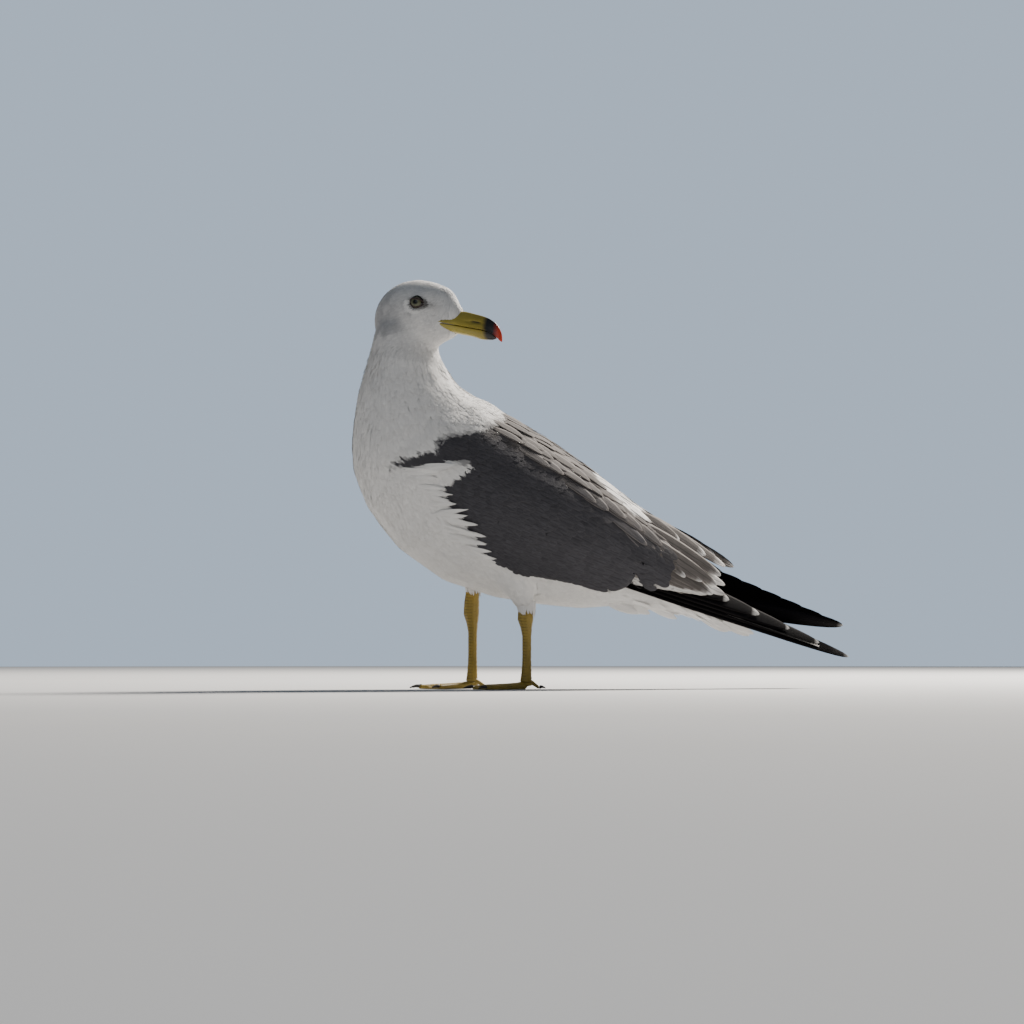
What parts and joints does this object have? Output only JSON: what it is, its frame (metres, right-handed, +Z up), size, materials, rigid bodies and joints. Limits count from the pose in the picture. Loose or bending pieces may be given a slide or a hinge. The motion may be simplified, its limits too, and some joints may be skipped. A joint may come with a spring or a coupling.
{
  "type": "seagull (black-tailed gull, adult), standing and looking back",
  "caption": "Life-size standing gull, white with a slate-grey back and black wing tips, looking back over its left shoulder.",
  "frame": {"origin": "on the floor under the middle of the whole bird", "axes": "-X the way the body faces, +Y the bird's right side, +Z up"},
  "size_m": [0.396, 0.1248, 0.311],
  "materials": {
    "white_plumage": "matte",
    "grey_plumage": "matte",
    "black_plumage": "satin",
    "bill_horn": "satin",
    "leg_skin": "satin",
    "claw_horn": "satin",
    "eyeball": "gloss"
  },
  "bodies": {
    "root": {"head": "white_plumage", "neck": "white_plumage", "trunk": "white_plumage", "tail": "white_plumage", "thigh_left": "white_plumage", "thigh_right": "white_plumage", "eye_left": "eyeball", "eye_right": "eyeball", "bill_upper": "bill_horn", "bill_lower": "bill_horn", "wing_left_coverts": "grey_plumage", "wing_right_coverts": "grey_plumage", "wing_left_tertials": "grey_plumage", "wing_right_tertials": "grey_plumage", "wing_left_primaries": "black_plumage", "wing_right_primaries": "black_plumage", "shank_left": "leg_skin", "shank_right": "leg_skin", "foot_left": "leg_skin", "foot_right": "leg_skin", "claw_left_inner": "claw_horn", "claw_left_middle": "claw_horn", "claw_left_outer": "claw_horn", "claw_left_hind": "claw_horn", "claw_right_inner": "claw_horn", "claw_right_middle": "claw_horn", "claw_right_outer": "claw_horn", "claw_right_hind": "claw_horn"}
  },
  "joints": []
}
